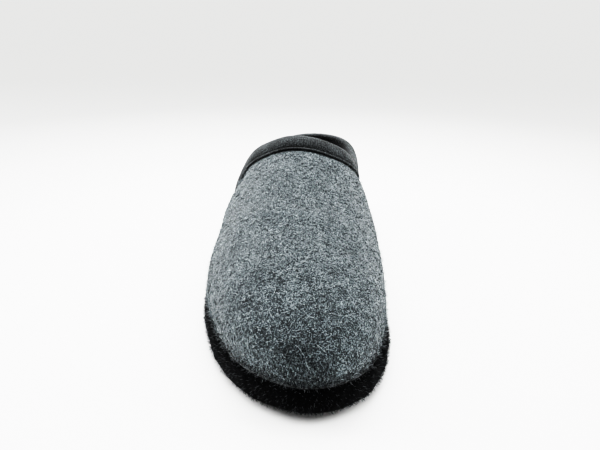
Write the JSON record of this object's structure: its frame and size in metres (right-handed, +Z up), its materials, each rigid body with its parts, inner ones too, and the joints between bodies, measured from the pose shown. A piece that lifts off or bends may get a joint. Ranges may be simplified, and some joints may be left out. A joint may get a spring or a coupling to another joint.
{
  "type": "wool slipper",
  "caption": "Closed-heel house slipper for the right foot: heathered grey felt upper on a thick black felt sole, with a dark bound collar and a felt insole.",
  "frame": {"origin": "on the floor, under the middle of the slipper's box", "axes": "+Y from the toe to the heel, +X to the big toe side, +Z up"},
  "size_m": [0.1002, 0.275, 0.0861],
  "materials": {
    "black_felt": "thick pressed black felt with a fuzzy cut edge",
    "grey_wool": "heathered grey boiled wool felt with a short nap",
    "dark_felt": "dark grey felt",
    "charcoal_tape": "charcoal knitted binding tape, rolled over the edge and stitched"
  },
  "bodies": {
    "root": {"outsole": "black_felt", "upper": "grey_wool", "insole": "dark_felt", "collar_binding": "charcoal_tape"}
  },
  "joints": []
}
